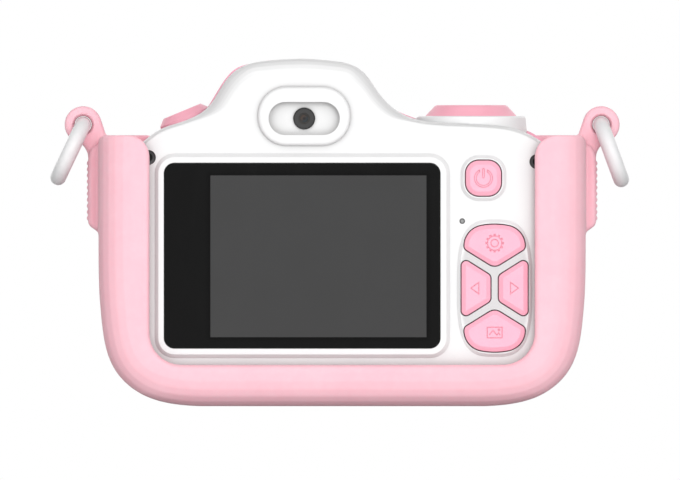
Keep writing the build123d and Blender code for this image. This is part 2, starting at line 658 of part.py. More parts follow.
# flat flexible tail: leaves the display's left edge, turns round, lies on the board
tail_sk = make_face(Polyline((-33.1, -16.6), (-34.6, -16.6), (-35.3, -16.3), (-35.6, -15.6), (-35.6, -13.3), (-35.3, -12.6), (-34.6, -12.3), (-30.0, -12.3),
                             (-30.0, -12.45), (-34.55, -12.45), (-35.16, -12.7), (-35.45, -13.35), (-35.45, -15.55), (-35.16, -16.18), (-34.55, -16.45), (-33.1, -16.45), close=True))
tail = extrude(Plane(origin=(0, 0, 22.0), x_dir=(1, 0, 0), z_dir=(0, 0, 1)) * tail_sk, amount=14.0)
save(tail, "lcd_tail")
save(box(-30.0, -27.2, -13.2, PCB_Y0, 21.4, 36.6), "lcd_connector")

# ================================================================ main board
board_sk = rr(-39.6, 39.6, 5.4, 50.2, 2.0)
board = prism(board_sk, PCB_Y1, PCB_Y0) & body_slab(lambda x: -WALL - 0.3, 0.0, -19.0)
for x, z in SCREWS:
    board -= cyl_y(x, z, 3.1, -20, 0)
board -= box(13.0, 36.0, -20, 0, 46.9, 60)      # clear of the shutter button
board -= LSB_PLANE * Pos(0, 0, -3.2) * Cylinder(6.2, 9.0)
for x, z in BOARD_POSTS:
    board -= cyl_y(x, z, 1.05, -20, 0)
board = board.solids().sort_by(SortBy.VOLUME)[-1]
save(board, "main_board")

chips = [box(-19.0, -8.0, -10.4, -9.2, 33.5, 44.5)]
save(chips[0], "processor_chip")
save(box(-3.0, 5.0, -10.4, -9.4, 37.5, 44.0), "memory_chip")
bs = []
for x, z in BOARD_POSTS:
    s1 = cyl_y(x, z, 1.6, -9.4, PCB_Y1) + cyl_y(x, z, 0.76, PCB_Y1 + 0.1, -15.0)
    s1 -= prism(Pos(x, z) * (Rectangle(1.8, 0.36) + Rectangle(0.36, 1.8)), -9.3, -9.9)
    bs.append(s1)
save(bs, "board_screws")

# case screws: pan head in the counterbore, thread in the front shell's post
cs = []
for x, z in SCREWS:
    s1 = cyl_y(x, z, 1.32, SCREW_SEAT_Y, SCREW_SEAT_Y - 1.1) + cyl_y(x, z, 0.95, 0.4, SCREW_SEAT_Y - 0.2)
    s1 -= cyl_y(x, z, 0.78, SCREW_SEAT_Y - 0.75, SCREW_SEAT_Y - 2.0)
    s1 -= prism(Pos(x, z) * (Rectangle(1.3, 0.36) + Rectangle(0.36, 1.3)), SCREW_SEAT_Y - 0.3, SCREW_SEAT_Y - 2.0)
    cs.append(s1)
save(cs, "case_screws")

# ================================================================ ports and card
usb_sk = RectangleRounded(8.9, 3.1, 1.2) - RectangleRounded(8.3, 2.5, 0.95)
usb = extrude(Plane(origin=(0, -8.8, 3.0), x_dir=(1, 0, 0), z_dir=(0, 0, 1)) * usb_sk, amount=7.2)
usb += extrude(Plane(origin=(0, -8.8, 9.6), x_dir=(1, 0, 0), z_dir=(0, 0, 1)) * RectangleRounded(8.9, 3.1, 1.2), amount=0.6)
usb += box(-3.3, 3.3, -9.15, -8.45, 4.0, 9.8)
usb -= box(-6, 6, PCB_Y1, -12, 0, 12)
save(usb, "usb_port")
sock = box(7.6, 20.6, PCB_Y1, -8.7, 5.6, 20.2) - box(8.45, 19.75, -10.12, -9.12, 5.0, 19.6)
save(sock, "card_socket")
card = box(8.6, 19.6, -10.02, -9.24, 4.1, 19.1)
card = try_fillet(card, card.edges().filter_by(Axis.Y).sort_by(Axis.Z)[0:2], [0.8])
card += box(8.6, 19.6, -10.02, -9.14, 4.1, 4.9)
card = card & prism(rr(8.6, 19.6, 4.1, 19.1, 0.75), -8, -12)
save(card, "memory_card")

# ================================================================ battery
pad = box(-32.6, -10.6, PCB_Y1, -9.9, 11.0, 31.5)
save(pad, "battery_pad")
bat = box(-33.6, -9.6, -9.9, -4.9, 9.7, 32.6)
bat = try_fillet(bat, bat.edges().filter_by(Axis.Z), [1.8, 1.2])
save(bat, "battery")
save(box(-6.4, -1.4, PCB_Y1, -7.4, 28.6, 33.0), "battery_plug")
save([Pos(-8.0, -8.9, z) * Rot(0, 90, 0) * Cylinder(0.5, 3.2) for z in (30.0, 31.4)], "battery_leads")

# ================================================================ sound
spk = cyl_y(SPK_X, SPK_Z, SPK_R, 0.2, FRONT_FACE_Y - WALL)
spk = spk - (cyl_y(SPK_X, SPK_Z, 8.0, 2.9, 4.0)) + cyl_y(SPK_X, SPK_Z, 4.6, -2.2, 0.3)
save(spk, "speaker")
save(cyl_y(MIC_X, MIC_Z, 2.0, PCB_Y1, -8.4), "microphone")

# ================================================================ cameras
cam = box(LENS_X - 4.2, LENS_X + 4.2, -3.4, -0.4, LENS_Z - 4.2, LENS_Z + 4.2) + cyl_y(LENS_X, LENS_Z, 3.3, -0.6, 5.2)
cam -= cyl_y(LENS_X, LENS_Z, 1.6, 4.2, 6.0)
save(cam, "front_camera_module")
cam_bracket = prism(Pos(LENS_X, LENS_Z) * (RectangleRounded(34, 17, 2) - Rectangle(8.6, 8.6)), -0.5, -2.2)
save(cam_bracket, "camera_bracket")
rcam = box(POD_X - 4.0, POD_X + 4.0, -14.6, -13.2, POD_IN_Z - 4.0, POD_IN_Z + 4.0) + cyl_y(POD_X, POD_IN_Z, 3.0, -14.4, -17.3)
rcam -= cyl_y(POD_X, POD_IN_Z, 1.3, -16.6, -18.0)
save(rcam, "rear_camera_module")
ldisc = cyl_y(POD_X, POD_IN_Z, REAR_LENS_R, -17.6, -19.62)
ldisc -= cyl_y(POD_X, POD_IN_Z, 1.05, -19.35, -20.0)
ldisc -= cyl_y(POD_X, POD_IN_Z, 0.75, -17.0, -19.6)
save(ldisc, "rear_lens_holder")
rl = cyl_y(POD_X, POD_IN_Z, 0.73, -17.7, -19.18)
save(rl, "rear_lens")

# ================================================================ front lens barrel
L = Pos(LENS_X, 0, LENS_Z)


def rev_y(pts):
    # profile in (radius, depth) turned about the lens axis
    f = make_face(Polyline(*[(r, y, 0) for r, y in pts], close=True))
    return L * revolve(f, axis=Axis.Y)


base_ring = rev_y([(13.3, 5.6), (BARREL_BASE_R, 5.6), (BARREL_BASE_R, 8.4), (BARREL_BASE_R - 1.1, 9.4), (17.3, 9.4), (17.3, 8.0), (13.3, 8.0)])
save(base_ring, "lens_base_ring")
barrel = rev_y([(12.9, 2.2), (12.9, 8.0), (17.2, 8.0), (17.2, 18.2), (16.6, 18.8), (14.8, 18.8), (14.8, 10.0), (11.4, 10.0), (11.4, 2.2)])
for k in range(36):
    a = math.radians(10 * k)
    barrel -= Pos(LENS_X + 17.35 * math.cos(a), 13.9, LENS_Z + 17.35 * math.sin(a)) * Rot(90, 0, 0) * Cylinder(0.55, 6.4)
save(barrel, "lens_barrel")
front_ring = rev_y([(14.75, 18.8), (16.9, 18.8), (16.9, 21.6), (16.2, 22.8), (15.4, LENS_FRONT_Y), (14.2, 22.6), (13.7, 21.2), (13.7, 20.2), (14.75, 20.2)])
save(front_ring, "lens_front_ring")
save(rev_y([(0.0, 19.0), (14.65, 19.0), (14.65, 20.1), (0.0, 20.3)]), "lens_front_glass")
cone = rev_y([(14.7, 18.6), (14.7, 17.2), (12.4, 16.6), (12.4, 14.6), (9.8, 14.0), (9.8, 12.0), (7.4, 11.4), (7.4, 9.6), (5.2, 9.0), (5.2, 5.4), (4.2, 5.4), (4.2, 10.4), (6.4, 10.4), (6.4, 12.4),
              (8.8, 12.8), (8.8, 15.0), (11.4, 15.4), (11.4, 17.6), (13.6, 18.6)])
save(cone, "lens_cone")
save(cyl_y(LENS_X, LENS_Z, 4.1, 8.6, 5.6) - Pos(LENS_X, 15.9, LENS_Z) * Sphere(7.6), "lens_element")

# ================================================================ flash
fw = cyl_y(FLASH_X, FLASH_Z, 3.0, 5.9, 2.2) + cyl_y(FLASH_X, FLASH_Z, 3.9, 3.55, 2.2)
fw = try_fillet(fw, fw.faces().sort_by(Axis.Y)[-1].edges(), [0.3])
save(fw, "flash_window")
save(box(FLASH_X - 1.4, FLASH_X + 1.4, 0.8, 1.9, FLASH_Z - 1.4, FLASH_Z + 1.4), "flash_led")
save(box(FLASH_X - 5.0, FLASH_X + 5.0, -0.2, 0.8, FLASH_Z - 4.0, FLASH_Z + 3.4), "flash_board")

# ================================================================ shutter
collar_prof = make_face(Polyline((COLLAR_BORE, COLLAR_SEAT_Z), (COLLAR_BASE_R, COLLAR_SEAT_Z), (COLLAR_BASE_R, 52.4),
                                 (COLLAR_R, COLLAR_TOP_Z), (COLLAR_BORE, COLLAR_TOP_Z), close=True))
collar_prof = fillet([v for v in collar_prof.vertices() if abs(v.Y - COLLAR_TOP_Z) < 1e-4 and v.X > 9.5], 0.45)
collar_prof = fillet([v for v in collar_prof.vertices() if abs(v.Y - COLLAR_TOP_Z) < 1e-4 and v.X < 9.2], 0.15)
collar = Pos(SHUT_X, SHUT_Y, 0) * revolve(Plane.XZ * collar_prof, axis=Axis.Z)
save(collar, "shutter_collar")

cap_prof = make_face(Polyline((0, 56.9), (SHUT_TOP_R - 0.35, SHUT_TOP_Z), (SHUT_R, 54.75), (SHUT_R, 49.55), (9.4, 49.55), (9.4, 48.6),
                              (7.5, 48.6), (7.5, 53.6), (1.6, 53.6), (1.6, 49.4), (0, 49.4), close=True))
cap_prof = fillet([v for v in cap_prof.vertices() if abs(v.Y - 56.9) < 1e-4 and v.X > 5], 1.0)
cap_prof = fillet([v for v in cap_prof.vertices() if abs(v.Y - 54.75) < 1e-4 and v.X > 5], 0.2)
cap = Pos(SHUT_X, SHUT_Y, 0) * revolve(Plane.XZ * cap_prof, axis=Axis.Z)
save(cap, "shutter_button")
sw = box(SHUT_X - 3.0, SHUT_X + 3.0, PCB_Y1, -4.4, 43.4, 47.4) - cyl_z(SHUT_X, SHUT_Y, 1.65, 45.6, 48.0)
save(sw, "shutter_switch")
save(cyl_z(SHUT_X, SHUT_Y, 1.5, 46.8, 49.4), "shutter_plunger")

# ================================================================ lens switch button
lp = make_face(Polyline((0, 0), (LSB_TOP_R, 0), (LSB_R, -LSB_CHAMFER), (LSB_R, -4.2), (LSB_R + 0.75, -4.2), (LSB_R + 0.75, -5.0),
                        (3.6, -5.0), (3.6, -2.2), (1.4, -2.2), (1.4, -6.6), (0, -6.6), close=True))
lp = fillet([v for v in lp.vertices() if abs(v.Y) < 1e-4 and v.X > 2], 0.12)
lsb = LSB_PLANE * revolve(Plane.XZ * lp, axis=Axis.Z)
save(lsb, "lens_switch_button")
save(LSB_PLANE * Pos(0, 0, -7.8) * Cylinder(1.2, 2.4), "lens_switch_plunger")
lsw = LSB_PLANE * Pos(0, 0, -10.4) * Box(6.0, 6.4, 3.6) - LSB_PLANE * Pos(0, 0, -9.0) * Cylinder(1.35, 2.4)
save(lsw, "lens_switch")

# ================================================================ rear keys
switches = []
for k, sk in KEYS.items():
    cx, cz = KEY_CENTRE[k]
    crown = prism(sk, -17.9, KEY_FACE_Y + KEY_BEVEL[1])
    crown += frustum(sk, grown(sk, -KEY_BEVEL[0]), KEY_FACE_Y + KEY_BEVEL[1], KEY_FACE_Y)
    crown = try_fillet(crown, crown.faces().sort_by(Axis.Y)[0].edges(), [0.3, 0.2, 0.12, 0.08])
    for c in icon(k):
        crown -= prism(c, KEY_FACE_Y + ICON_DEPTH, KEY_FACE_Y - 1)
    key = crown + prism(grown(sk, KEY_FLANGE), -16.9, -17.95)
    key += cyl_y(cx, cz, 1.5, PLUNGER_Y, -17.0)
    save(key, k + "_button")
    switch = box(cx - 2.2, cx + 2.2, PCB_Y0 - SWITCH_H, PCB_Y0, cz - 2.2, cz + 2.2)
    switches.append(switch - cyl_y(cx, cz, 1.25, PCB_Y0 - 0.8, PCB_Y0 - SWITCH_H - 1))
    save(cyl_y(cx, cz, 1.1, PCB_Y0 - SWITCH_H + 0.35, PLUNGER_Y), k + "_plunger")

save(switches, "key_switches")

# ================================================================ status light
pipe = cyl_y(LED_X, LED_Z, LED_R, -12.9, -19.75) + cyl_y(LED_X, LED_Z, 1.1, -16.8, -17.95)
save(pipe, "status_light_pipe")
save(box(LED_X - 0.8, LED_X + 0.8, -12.8, PCB_Y0, LED_Z - 0.5, LED_Z + 0.5), "status_led")
print("done")
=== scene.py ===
"""Kids digital camera in a silicone sleeve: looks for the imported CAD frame.

Every length below is in metres, in the frame of the CAD: +X to the right when
the screen is faced, +Y the way the front lens looks, +Z up.
"""

import math

import bmesh
import bpy
import numpy as np
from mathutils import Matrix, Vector
from mathutils.bvhtree import BVHTree


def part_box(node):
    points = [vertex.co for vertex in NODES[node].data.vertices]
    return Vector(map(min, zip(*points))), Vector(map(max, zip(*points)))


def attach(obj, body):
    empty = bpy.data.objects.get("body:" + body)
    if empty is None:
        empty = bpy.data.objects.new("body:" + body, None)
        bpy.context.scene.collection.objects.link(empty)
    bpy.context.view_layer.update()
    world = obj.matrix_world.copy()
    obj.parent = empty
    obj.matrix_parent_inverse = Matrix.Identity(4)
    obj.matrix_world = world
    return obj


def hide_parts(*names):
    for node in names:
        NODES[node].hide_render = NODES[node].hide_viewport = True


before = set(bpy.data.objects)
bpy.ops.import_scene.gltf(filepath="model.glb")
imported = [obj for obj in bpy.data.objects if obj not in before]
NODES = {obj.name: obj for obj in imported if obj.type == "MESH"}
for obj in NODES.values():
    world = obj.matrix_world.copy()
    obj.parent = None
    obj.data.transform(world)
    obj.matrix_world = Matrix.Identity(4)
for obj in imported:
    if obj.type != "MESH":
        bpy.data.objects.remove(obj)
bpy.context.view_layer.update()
MM = 0.001


# ---------------------------------------------------------------- node helpers


class Mat:
    """A node material being put together: small helpers around one Principled BSDF."""

    def __init__(self, name, **sockets):
        self.mat = bpy.data.materials.new(name)
        self.mat.use_nodes = True
        self.t = self.mat.node_tree
        self.t.nodes.clear()
        self.out = self.t.nodes.new("ShaderNodeOutputMaterial")
        self.bsdf = self.t.nodes.new("ShaderNodeBsdfPrincipled")
        self.t.links.new(self.bsdf.outputs[0], self.out.inputs[0])
        self.coord = self.t.nodes.new("ShaderNodeTexCoord").outputs["Object"]
        for key, value in sockets.items():
            self.set(key.replace("_", " "), value)

    def set(self, socket, value):
        s = self.bsdf.inputs[socket]
        s.default_value = (*value, 1.0) if s.type == "RGBA" else value

    def link(self, a, b):
        self.t.links.new(a, b)
        return b

    def math(self, op, a, b=0.0, c=None, clamp=False):
        n = self.t.nodes.new("ShaderNodeMath")
        n.operation, n.use_clamp = op, clamp
        for i, v in enumerate((a, b) if c is None else (a, b, c)):
            if isinstance(v, (int, float)):
                n.inputs[i].default_value = v
            else:
                self.link(v, n.inputs[i])
        return n.outputs[0]

    def noise(self, size, detail=2.0, rough=0.5, vector=None, distortion=0.0):
        """Noise whose cells are about size metres across."""
        n = self.t.nodes.new("ShaderNodeTexNoise")
        n.inputs["Scale"].default_value = 1.0 / size
        n.inputs["Detail"].default_value = detail
        n.inputs["Roughness"].default_value = rough
        n.inputs["Distortion"].default_value = distortion
        self.link(self.coord if vector is None else vector, n.inputs["Vector"])
        return n.outputs["Fac"]

    def cells(self, size, feature="F1", vector=None, randomness=1.0):
        n = self.t.nodes.new("ShaderNodeTexVoronoi")
        n.feature = feature
        n.inputs["Scale"].default_value = 1.0 / size
        n.inputs["Randomness"].default_value = randomness
        self.link(self.coord if vector is None else vector, n.inputs["Vector"])
        return n.outputs["Distance"]

    def stretched(self, sx, sy, sz):
        n = self.t.nodes.new("ShaderNodeMapping")
        n.inputs["Scale"].default_value = (sx, sy, sz)
        self.link(self.coord, n.inputs["Vector"])
        return n.outputs[0]

    def xyz(self):
        n = self.t.nodes.new("ShaderNodeSeparateXYZ")
        self.link(self.coord, n.inputs[0])
        return n.outputs

    def remap(self, value, a, b, to_a=0.0, to_b=1.0, smooth=False):
        n = self.t.nodes.new("ShaderNodeMapRange")
        n.interpolation_type = "SMOOTHSTEP" if smooth else "LINEAR"
        n.clamp = True
        self.link(value, n.inputs["Value"])
        for key, v in (("From Min", a), ("From Max", b), ("To Min", to_a), ("To Max", to_b)):
            n.inputs[key].default_value = v
        return n.outputs[0]

    def mix(self, fac, a, b, blend="MIX"):
        n = self.t.nodes.new("ShaderNodeMix")
        n.data_type, n.blend_type = "RGBA", blend
        if isinstance(fac, (int, float)):
            n.inputs[0].default_value = fac
        else:
            self.link(fac, n.inputs[0])
        for sock, v in ((n.inputs[6], a), (n.inputs[7], b)):
            if isinstance(v, tuple):
                sock.default_value = (*v, 1.0)
            else:
                self.link(v, sock)
        return n.outputs[2]

    def radius(self, x, z):
        """Distance from an axis along Y through x, z."""
        n = self.t.nodes.new("ShaderNodeCombineXYZ")
        s = self.xyz()
        self.link(s[0], n.inputs[0])
        self.link(s[2], n.inputs[2])
        d = self.t.nodes.new("ShaderNodeVectorMath")
        d.operation = "DISTANCE"
        self.link(n.outputs[0], d.inputs[0])
        d.inputs[1].default_value = (x, 0.0, z)
        return d.outputs["Value"]

    def tube(self, x, z, r, soft=0.00006):
        """1 inside a round bar along Y with its centre at x, z."""
        return self.remap(self.radius(x, z), r - soft, r + soft, 1.0, 0.0)

    def slope(self, lo=0.70, hi=0.990):
        """1 on faces that turn away from the Y axis, 0 on flat front and back faces."""
        g = self.t.nodes.new("ShaderNodeNewGeometry")
        n = self.t.nodes.new("ShaderNodeSeparateXYZ")
        self.link(g.outputs["Normal"], n.inputs[0])
        return self.remap(self.math("ABSOLUTE", n.outputs[1]), lo, hi, 1.0, 0.0)

    def hollow(self, distance, lo=0.15, hi=0.85):
        """1 deep in a gap or a groove of about that width, 0 on an open face."""
        n = self.t.nodes.new("ShaderNodeAmbientOcclusion")
        n.samples = 12
        n.inputs["Distance"].default_value = distance
        return self.remap(n.outputs["AO"], lo, hi, 1.0, 0.0)

    def box(self, axis, lo, hi, soft=0.00004):
        """1 where the coordinate on that axis is between lo and hi."""
        c = self.xyz()[axis]
        up = self.remap(c, lo - soft, lo + soft, 0.0, 1.0)
        down = self.remap(c, hi - soft, hi + soft, 1.0, 0.0)
        return self.math("MULTIPLY", up, down)

    def bump(self, height, distance, strength=1.0):
        n = self.t.nodes.new("ShaderNodeBump")
        n.inputs["Strength"].default_value = strength
        n.inputs["Distance"].default_value = distance
        self.link(height, n.inputs["Height"])
        last = self.bsdf.inputs["Normal"].links
        if last:
            self.link(last[0].from_socket, n.inputs["Normal"])
        self.link(n.outputs[0], self.bsdf.inputs["Normal"])

    def color(self, socket):
        self.link(socket, self.bsdf.inputs["Base Color"])

    def rough(self, socket):
        self.link(socket, self.bsdf.inputs["Roughness"])


def srgb(r, g, b):
    """Linear colour of an 8-bit sRGB one."""
    return tuple(
        (v / 255 / 12.92) if v <= 10 else ((v / 255 + 0.055) / 1.055) ** 2.4
        for v in (r, g, b)
    )


def times(c, k):
    return tuple(min(1.0, v * k) for v in c)


def moulded(
    name,
    base,
    shade,
    rough=(0.30, 0.40),
    grain=0.00011,
    grain_depth=0.0000035,
    flow=0.006,
    flow_depth=0.000012,
    flow_stretch=(1.0, 1.0, 1.0),
    speck=0.02,
    groove=None,
    painted_slope_shade=None,
    **sockets,
):
    """Injection-moulded plastic: a slow colour drift from the melt's flow, fine spark-eroded grain, slightly uneven
    gloss, and optional painted shade, darker deep in gaps and grooves and on faces that turn away from the Y axis.
    """
    m = Mat(name, **sockets)
    drift = m.noise(flow, 3.0, 0.55, m.stretched(*flow_stretch), 0.4)
    body = m.mix(m.remap(drift, 0.34, 0.66, smooth=True), base, shade)
    fine = m.noise(grain * 2.4, 2.0, 0.6)
    m.drifted = m.mix(
        m.remap(fine, 0.30, 0.70, 0.0, speck), body, times(shade, 0.80), "MIX"
    )
    # painted shade: darker deep in gaps and grooves, from ambient occlusion
    for width, lo, hi, colour, k in groove or ():
        m.drifted = m.mix(m.math("MULTIPLY", m.hollow(width, lo, hi), k), m.drifted, colour)
    # painted shade: darker on faces that turn away from the Y axis
    if painted_slope_shade:
        m.drifted = m.mix(m.math("MULTIPLY", m.slope(), painted_slope_shade[1]), m.drifted, painted_slope_shade[0])
    m.color(m.drifted)
    gloss = m.noise(0.0023, 4.0, 0.6)
    m.gloss = m.remap(gloss, 0.28, 0.72, rough[0], rough[1])
    m.rough(m.gloss)
    m.bump(m.noise(grain, 2.0, 0.6), grain_depth)
    m.bump(m.noise(flow * 0.7, 1.0, 0.4), flow_depth)
    return m


# ------------------------------------------------------------------- materials


def silicone(name, base, shade):
    """Soft silicone: a velvety skin, fine bloom and lint specks, a gloss that varies where it has been handled."""
    m = Mat(
        name,
        Sheen_Weight=0.05,
        Sheen_Roughness=0.45,
        Subsurface_Weight=0.10,
        Subsurface_Radius=(0.0022, 0.0010, 0.0011),
        Subsurface_Scale=1.0,
        Specular_IOR_Level=0.20,
        IOR=1.42,
    )
    drift = m.noise(0.011, 3.0, 0.55, None, 0.5)
    body = m.mix(m.remap(drift, 0.33, 0.67, smooth=True), base, shade)
    bloom = m.noise(0.0016, 4.0, 0.62)
    body = m.mix(m.remap(bloom, 0.42, 0.74, 0.0, 0.05), body, (1.0, 0.93, 0.94))
    specks = m.cells(0.0031)
    body = m.mix(m.remap(specks, 0.018, 0.034, 0.10, 0.0), body, times(shade, 0.62))
    # painted shade: darker in gaps and hollows on the body, but not inside the ears' eyes
    inboard = m.remap(m.math("ABSOLUTE", m.xyz()[0]), 0.0462, 0.0472, 1.0, 0.0)
    gap = m.math("MULTIPLY", m.hollow(0.0030), inboard)
    body = m.mix(m.math("MULTIPLY", gap, 0.55), body, times(shade, 0.62))
    m.color(body)
    m.rough(
        m.math(
            "ADD",
            m.remap(m.noise(0.0045, 4.0, 0.6), 0.3, 0.7, 0.50, 0.62),
            m.remap(m.noise(0.00035, 2.0, 0.5), 0.3, 0.7, -0.03, 0.03),
        )
    )
    m.bump(m.noise(0.00016, 2.0, 0.6), 0.0000055)
    m.bump(m.noise(0.0021, 2.0, 0.5), 0.000010)
    return m.mat


def white_shell():
    """Glossy white shell with painted shade: darker in gaps, along the sleeve's lip, on the sloped rims and between the
    keys, and near black inside its four screw wells and round the status light.
    """
    m = moulded(
        "shell_white",
        (0.800, 0.800, 0.800),
        (0.784, 0.785, 0.788),
        rough=(0.34, 0.43),
        flow_depth=0.000008,
        # painted shade: darker in gaps and along the sleeve's lip, and on the sloped rims round bezel and keys
        groove=[
            (0.0014, 0.35, 0.97, (0.48, 0.46, 0.465), 0.55),
            (0.0045, 0.20, 0.92, (0.45, 0.45, 0.445), 0.78),
        ],
        painted_slope_shade=((0.58, 0.57, 0.575), 0.40),
        Specular_IOR_Level=0.42,
        Subsurface_Weight=0.04,
        Subsurface_Radius=(0.0012, 0.0012, 0.0012),
        Subsurface_Scale=1.0,
    )
    # the sunk floor between the keys sits in their shade
    p = m.xyz()
    dx = m.math("DIVIDE", m.math("ABSOLUTE", m.math("SUBTRACT", p[0], CLUSTER[0])), 0.0068)
    dz = m.math("DIVIDE", m.math("ABSOLUTE", m.math("SUBTRACT", p[2], CLUSTER[1])), 0.0126)
    out = m.math("ADD", m.math("POWER", dx, 2.3), m.math("POWER", dz, 2.3))
    m.drifted = m.mix(m.remap(out, 0.80, 1.04, 0.62, 0.0, smooth=True), m.drifted, (0.50, 0.49, 0.495))
    # painted shade: the walls of the four screw wells and of the status light's hole painted near black
    dark = None
    for x, z in SCREWS:
        well = m.tube(x, z, 1.43 * MM)
        dark = well if dark is None else m.math("MAXIMUM", dark, well)
    dark = m.math("MAXIMUM", dark, m.tube(*LIGHT, 0.60 * MM))
    deep = m.remap(m.xyz()[1], -19.94 * MM, -19.84 * MM, 0.0, 1.0)
    dark = m.math("MULTIPLY", dark, deep)
    m.color(m.mix(dark, m.drifted, (0.026, 0.026, 0.027)))
    return m.mat


def window():
    """The screen's cover: black print round a clear area, under which the panel shows as an even grey with its pixel rows."""
    m = Mat(
        "window_print",
        Specular_IOR_Level=0.42,
        IOR=1.49,
    )
    inside = m.math(
        "MULTIPLY",
        m.box(0, LCD[0], LCD[1], 0.00007),
        m.box(2, LCD[2], LCD[3], 0.00007),
    )
    near = m.math(
        "MULTIPLY",
        m.box(0, LCD[0] - 0.0006, LCD[1] + 0.0006, 0.0005),
        m.box(2, LCD[2] - 0.0006, LCD[3] + 0.0006, 0.0005),
    )
    s = m.xyz()
    pitch = 0.0001275
    rows = m.math("ABSOLUTE", m.math("SINE", m.math("MULTIPLY", s[2], math.pi / pitch)))
    cols = m.math("ABSOLUTE", m.math("SINE", m.math("MULTIPLY", s[0], math.pi / pitch)))
    grid = m.math("MULTIPLY", m.remap(rows, 0.0, 0.35), m.remap(cols, 0.0, 0.35))
    panel = m.mix(grid, (0.0495, 0.0495, 0.0497), (0.0585, 0.0585, 0.0587))
    mura = m.noise(0.009, 2.0, 0.5)
    panel = m.mix(m.remap(mura, 0.3, 0.7, 0.0, 0.10), panel, (0.070, 0.071, 0.073))
    ink = m.mix(m.noise(0.00022, 2.0, 0.6), (0.0084, 0.0084, 0.0084), (0.0102, 0.0102, 0.0103))
    # painted shade: the black print darker still along the clear area's edge, as shade at the window's depth
    ink = m.mix(m.math("MULTIPLY", near, 0.45), ink, (0.0042, 0.0042, 0.0043))
    m.color(m.mix(inside, ink, panel))
    smear = m.noise(0.012, 5.0, 0.65, m.stretched(1.0, 1.0, 0.35), 1.2)
    m.rough(m.remap(smear, 0.35, 0.70, 0.06, 0.12))
    m.bump(m.noise(0.02, 1.0, 0.4), 0.000006)
    return m.mat


def metal(name, base, rough=(0.28, 0.42), along=(1.0, 1.0, 1.0), metallic=1.0):
    m = Mat(name, Metallic=metallic)
    brush = m.noise(0.00020, 3.0, 0.6, m.stretched(*along))
    m.color(m.mix(m.remap(brush, 0.3, 0.7, 0.0, 1.0), base, times(base, 0.72)))
    m.rough(m.remap(m.noise(0.0009, 3.0, 0.6), 0.3, 0.7, *rough))
    m.bump(brush, 0.000004)
    return m.mat


def screw():
    """Dark plated screw: a grey turned head with its recess painted near black as shade."""
    m = Mat("screw_dark", Metallic=0.15, Specular_IOR_Level=0.4)
    turned = m.noise(0.00020, 3.0, 0.6)
    # painted shade: the recess in each head painted near black
    hole = None
    for x, z in SCREWS:
        spot = m.tube(x, z, 0.80 * MM, 0.00005)
        hole = spot if hole is None else m.math("MAXIMUM", hole, spot)
    head = m.mix(turned, (0.150, 0.150, 0.153), (0.115, 0.115, 0.118))
    m.color(m.mix(hole, head, (0.0025, 0.0025, 0.0026)))
    m.rough(m.remap(m.noise(0.0009, 3.0, 0.6), 0.3, 0.7, 0.35, 0.50))
    m.bump(turned, 0.000004)
    return m.mat


def holder():
    """The little camera's black barrel: grey face, darker rim, fine turned rings."""
    m = Mat("lens_holder", Specular_IOR_Level=0.20)
    outer = m.tube(CAM[0], CAM[1], 1.83 * MM, 0.00010)
    inner = m.tube(CAM[0], CAM[1], 1.12 * MM, 0.00006)
    fine = m.noise(0.00018, 2.0, 0.6)
    face = m.mix(fine, (0.0430, 0.0430, 0.0430), (0.0510, 0.0510, 0.0510))
    rim = m.mix(fine, (0.020, 0.020, 0.020), (0.026, 0.026, 0.026))
    well = m.mix(fine, (0.040, 0.038, 0.036), (0.052, 0.049, 0.046))
    c = m.mix(outer, rim, face)
    m.color(m.mix(inner, c, well))
    m.rough(m.remap(m.noise(0.0008, 3.0, 0.6), 0.3, 0.7, 0.36, 0.50))
    m.bump(m.noise(0.00010, 2.0, 0.6), 0.000003)
    return m.mat


def small_lens():
    """A coated glass bead with painted reflections and shade: painted glints brown to one side and teal to the other,
    painted shade dark in the middle.
    """
    m = Mat("small_lens", Roughness=0.06, Specular_IOR_Level=0.5, Coat_Weight=0.5, Coat_Roughness=0.03)
    s = m.xyz()
    # painted reflection: coating glints, brown to one side and teal to the other
    across = m.math("ADD", m.math("SUBTRACT", s[0], CAM[0]), m.math("SUBTRACT", CAM[1], s[2]))
    tint = m.mix(m.remap(across, -0.0007, 0.0006, smooth=True), (0.105, 0.070, 0.052), (0.030, 0.052, 0.062))
    # painted shade: dark in the middle
    core = m.tube(CAM[0], CAM[1], 0.26 * MM, 0.00012)
    tint = m.mix(core, tint, (0.012, 0.012, 0.015))
    m.color(m.mix(m.noise(0.00012, 2.0), tint, times((0.06, 0.055, 0.055), 1.0)))
    m.rough(m.remap(m.noise(0.0003, 3.0), 0.3, 0.7, 0.05, 0.12))
    m.bump(m.noise(0.0006, 1.0), 0.000002)
    return m.mat


def glass(name, tint, rough=(0.010, 0.045)):
    """Thin clear plastic: lets most light straight through, mirrors a little, with a coating tint and the odd wipe mark."""
    m = Mat(name, Alpha=0.24, IOR=1.8, Specular_IOR_Level=0.8, Coat_Weight=1.0, Coat_Roughness=0.015)
    m.color(m.mix(m.remap(m.noise(0.010, 3.0, 0.6), 0.3, 0.7), tint, times(tint, 0.60)))
    m.rough(m.remap(m.noise(0.006, 5.0, 0.65, m.stretched(1.0, 1.0, 0.3), 1.0), 0.4, 0.75, *rough))
    m.bump(m.noise(0.020, 0.0), 0.0000008)
    return m.mat


